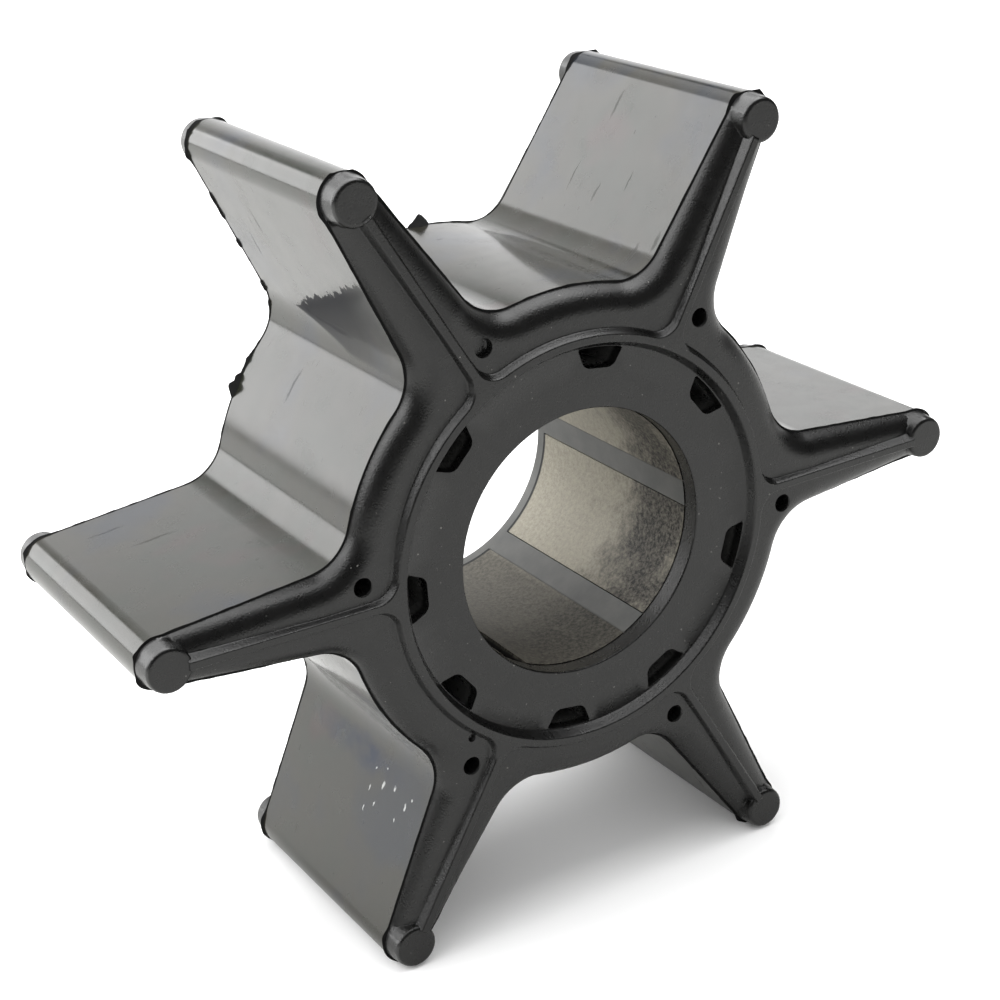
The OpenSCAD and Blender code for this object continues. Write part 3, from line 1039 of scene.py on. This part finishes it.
def flank_rubber():
    """The vanes' flanks and the hub between them, smooth and shiny, with smears and scuffs."""
    material, tree, shader = new_material("rubber_flank")
    at = place(tree)
    cloud = noise_of(tree, at, 0.12, 3)
    tints = [
        (0.36, (0.008, 0.012, 0.019)),
        (0.48, (0.02, 0.018, 0.011)),
        (0.6, (0.014, 0.017, 0.01)),
        (0.7, (0.03, 0.016, 0.013)),
    ]
    colour = ramp(tree, cloud, tints)
    streak = ramp(tree, noise_of(tree, at, 0.9, 4, 0.6), [(0.36, 0.3), (0.6, 1.0)])
    ragged = wobbled(tree, at, 0.8, 1.2)
    fading = [(0.3, 1.0), (1.0, 0.0)]
    smear = spot(tree, ragged, (-11.4, 0.2, -14.9), (2.5, 7.0, 1.1), fading)
    smear = product(tree, smear, streak)
    colour = mixed(tree, smear, colour, (0.013, 0.024, 0.056))
    # Painted reflection: the patch's darker colour, higher roughness and thinner coat stand in for the
    # dark reflection at the vane's root.
    patch = dark_reflection_patch(tree)
    colour = mixed(tree, patch, colour, (0.016, 0.0165, 0.021))
    colour = mixed(tree, marks(tree, PALE_FLECKS, 0.6), colour, (0.6, 0.61, 0.6))
    tree.links.new(colour, shader.inputs["Base Color"])
    scratch = noise_of(tree, place(tree, (900.0, 2600.0, 350.0)), 1.0, 2, 0.6)
    scuff = ramp(tree, scratch, [(0.7, 0.0), (0.8, 0.7)])
    scuff = largest(tree, scuff, marks(tree, DULL_STROKES, 0.35))
    rough = ramp(tree, noise_of(tree, at, 0.5, 5), [(0.3, 0.16), (0.7, 0.3)])
    rough = mixed(tree, scuff, rough, (0.42, 0.42, 0.42))
    tree.links.new(mixed(tree, patch, rough, (0.8, 0.8, 0.8)), shader.inputs["Roughness"])
    shader.inputs["Specular IOR Level"].default_value = 0.5
    marked = ramp(tree, largest(tree, scuff, smear), [(0.0, 0.0), (1.0, 0.6)])
    coat = ramp(tree, largest(tree, marked, patch), [(0.0, 1.0), (1.0, 0.12)])
    tree.links.new(coat, shader.inputs["Coat Weight"])
    shader.inputs["Coat Roughness"].default_value = 0.14
    swell = noise_of(tree, at, 0.45, 2)
    bumped(tree, shader, [(swell, 0.1, 0.08), (scratch, 0.04, 0.02)])
    return material


def collar_rubber():
    """The short collars round the bead discs, shinier than the end faces."""
    material, tree, shader = new_material("rubber_collar")
    at = place(tree)
    shader.inputs["Base Color"].default_value = (0.01, 0.01, 0.01, 1)
    rough = ramp(tree, noise_of(tree, at, 1.5, 3), [(0.3, 0.24), (0.7, 0.4)])
    tree.links.new(rough, shader.inputs["Roughness"])
    shader.inputs["Specular IOR Level"].default_value = 0.8
    shader.inputs["Coat Weight"].default_value = 0.9
    shader.inputs["Coat Roughness"].default_value = 0.25
    grain = noise_of(tree, at, 8.0, 2)
    bumped(tree, shader, [(grain, 0.5, 0.04)])
    return material


def edge_rubber():
    """The torn flash, dark and dull."""
    material, tree, shader = new_material("rubber_parting_edge")
    at = place(tree)
    colour = ramp(tree, noise_of(tree, at, 2.0), [(0.3, 0.003), (0.7, 0.008)])
    tree.links.new(colour, shader.inputs["Base Color"])
    shader.inputs["Roughness"].default_value = 0.7
    shader.inputs["Specular IOR Level"].default_value = 0.2
    return material


def bore_rubber():
    """The strips in the bush's grooves and the lip behind it, a pale grey."""
    material, tree, shader = new_material("rubber_in_bore")
    at = place(tree)
    cloud = noise_of(tree, at, 0.5, 4)
    colour = ramp(tree, cloud, [(0.3, (0.1, 0.103, 0.1)), (0.7, (0.15, 0.15, 0.142))])
    tree.links.new(colour, shader.inputs["Base Color"])
    shader.inputs["Roughness"].default_value = 0.4
    grain = noise_of(tree, at, 5.0, 3)
    bumped(tree, shader, [(grain, 0.3, 0.02)])
    return material


def bush_metal():
    """Sintered metal: pale and smooth at the back, speckled and stained dark toward the front."""
    material, tree, shader = new_material("bush_metal")
    at = place(tree)
    speck = noise_of(tree, at, 4.0, 5, 0.75)
    pale = ramp(tree, speck, [(0.3, (0.25, 0.23, 0.185)), (0.7, (0.46, 0.43, 0.35))])
    dark = ramp(tree, speck, [(0.42, (0.012, 0.011, 0.01)), (0.62, (0.19, 0.175, 0.145))])
    to_front = ramp(tree, depth_of(tree, at), [(0.0, 0.62), (0.16, 0.8), (0.4, 0.43), (0.7, 0.1)])
    stain = noise_of(tree, at, 0.42, 6, 0.72)
    share = ramp(tree, halved(tree, summed(tree, stain, to_front)), [(0.42, 0.0), (0.6, 1.0)])
    colour = mixed(tree, share, pale, dark)
    low = ramp(tree, along(tree, at, (0, 0, 1), -8.5, -6.5), [(0.3, 0.82), (0.8, 0.0)])
    shaded = ramp(tree, speck, [(0.36, (0.022, 0.02, 0.016)), (0.64, (0.115, 0.107, 0.088))])
    colour = mixed(tree, low, colour, shaded)
    # Painted shadow: a nearly black band at the bush's back end stands in for the shade in the gap to
    # the lip.
    seam = ramp(tree, depth_of(tree, at), [(0.984, 0.0), (0.988, 1.0)])
    colour = mixed(tree, seam, colour, (0.01, 0.01, 0.01))
    # Painted shade: beyond the bore's radius, the keyway and the grooves' walls and floors are painted
    # nearly black.
    groove_shade = spot(tree, at, ON_AXIS, (10.0, ENDLESS, 10.0), [(0.862, 0.0), (0.875, 1.0)])
    colour = mixed(tree, groove_shade, colour, (0.012, 0.011, 0.01))
    tree.links.new(colour, shader.inputs["Base Color"])
    shader.inputs["Metallic"].default_value = 0.25
    rough = ramp(tree, speck, [(0.3, 0.42), (0.7, 0.6)])
    tree.links.new(rough, shader.inputs["Roughness"])
    bumped(tree, shader, [(speck, 0.5, 0.06)])
    return material


# The object

def make_rubber():
    patches = Patches()
    add_end(patches, "front")
    add_end(patches, "back")
    add_flanks(patches)
    add_bore(patches)
    add_strips(patches)
    add_flash(patches)
    slots = [matt_rubber(), flank_rubber(), edge_rubber(), bore_rubber(), collar_rubber()]
    piece = patches.build("impeller_moulding", slots)
    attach(piece, "root")
    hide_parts("rubber_impeller")


def make_bush():
    patches = Patches()
    add_bush(patches)
    piece = patches.build("bush", [bush_metal()])
    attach(piece, "root")
    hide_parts("hub_bush")


# Camera, floor and light, in metres. The camera is fitted to the photograph.

LENS = 75.85
SENSOR_W = 36
CAMERA_AT = (-0.06379, -0.10862, 0.05291)
CAMERA_RIGHT = (0.84928, -0.52526, -0.05316)
CAMERA_UP = (0.24725, 0.30675, 0.91911)
CAMERA_BACK = (-0.46646, -0.79373, 0.39039)

# Lamps: name, place, size, radiance and the point that it faces

LAMPS = [
    ("overhead", (-0.1, 0.2, 0.6), (1.3, 0.9), 1.66, (-0.1, 0.2, 0)),
    ("overhead_core", (0.28, 0.04, 0.59), (0.4, 0.3), 0.8, (0.28, 0.04, 0)),
    ("left", (-0.79, 0.16, 0.43), (0.45, 0.5), 2.1, (0, 0, 0)),
    ("back_high", (-0.11, 0.79, 0.6), (0.85, 0.22), 0.52, (0, 0, 0)),
    ("back_left", (-0.545, 0.75, 0.28), (0.74, 0.55), 1.94, (0, 0, 0)),
    ("back_right", (0.26, 0.86, 0.22), (1.1, 0.5), 0.8, (0, 0, 0)),
]
POWER_FOR_RADIANCE = 4

# The world's strength for all rays, and then for those of a kind

WORLD_STRENGTHS = [(None, 0.9), ("Is Glossy Ray", 0.03), ("Is Camera Ray", 1.0)]


def make_camera():
    data = bpy.data.cameras.new("camera")
    data.sensor_width = SENSOR_W
    data.lens = LENS
    data.clip_start = 0.01
    data.clip_end = 20
    camera = bpy.data.objects.new("camera", data)
    bpy.context.scene.collection.objects.link(camera)
    axes = Matrix((CAMERA_RIGHT, CAMERA_UP, CAMERA_BACK))
    turn = axes.transposed().to_4x4()
    camera.matrix_world = Matrix.Translation(CAMERA_AT) @ turn
    bpy.context.scene.camera = camera


def floor_material():
    """Pale to the camera, and a little darker in what it lights and mirrors, as is the photograph's."""
    material, tree, shader = new_material("floor")
    shader.inputs["Roughness"].default_value = 0.9
    shader.inputs["Specular IOR Level"].default_value = 0.0
    paths = tree.nodes.new("ShaderNodeLightPath")
    colour = mixed(tree, paths.outputs["Is Camera Ray"], (0.465, 0.465, 0.455), (1.0, 1.0, 1.0))
    tree.links.new(colour, shader.inputs["Base Color"])
    return material


def make_floor():
    half = 2.5
    z = rubber_low.z
    corners = [(-half, -half, z), (half, -half, z), (half, half, z), (-half, half, z)]
    mesh = bpy.data.meshes.new("floor")
    mesh.from_pydata(corners, [], [(0, 1, 2, 3)])
    mesh.materials.append(floor_material())
    floor = bpy.data.objects.new("floor", mesh)
    bpy.context.scene.collection.objects.link(floor)


def area_light(name, at, size, radiance, target):
    """A soft box, as bright as its radiance where a glossy face reflects it."""
    data = bpy.data.lights.new(name, "AREA")
    data.shape = "RECTANGLE"
    data.size, data.size_y = size
    data.energy = POWER_FOR_RADIANCE * radiance * size[0] * size[1]
    light = bpy.data.objects.new(name, data)
    bpy.context.scene.collection.objects.link(light)
    light.location = at
    light.rotation_euler = (Vector(target) - Vector(at)).to_track_quat("-Z", "Y").to_euler()


def make_world():
    """A white background, whose light and reflections have strengths of their own."""
    world = bpy.data.worlds.new("world")
    bpy.context.scene.world = world
    world.use_nodes = True
    tree = world.node_tree
    tree.nodes.clear()
    out = tree.nodes.new("ShaderNodeOutputWorld")
    paths = tree.nodes.new("ShaderNodeLightPath")
    last = None
    for ray, strength in WORLD_STRENGTHS:
        shade = tree.nodes.new("ShaderNodeBackground")
        shade.inputs["Strength"].default_value = strength
        shade.inputs["Color"].default_value = (1, 1, 1, 1)
        if last is not None:
            mix = tree.nodes.new("ShaderNodeMixShader")
            tree.links.new(paths.outputs[ray], mix.inputs[0])
            tree.links.new(last, mix.inputs[1])
            tree.links.new(shade.outputs[0], mix.inputs[2])
            shade = mix
        last = shade.outputs[0]
    tree.links.new(last, out.inputs["Surface"])


make_rubber()
make_bush()
make_floor()
make_world()
for lamp in LAMPS:
    area_light(*lamp)
make_camera()
bpy.context.scene.view_settings.view_transform = "Standard"
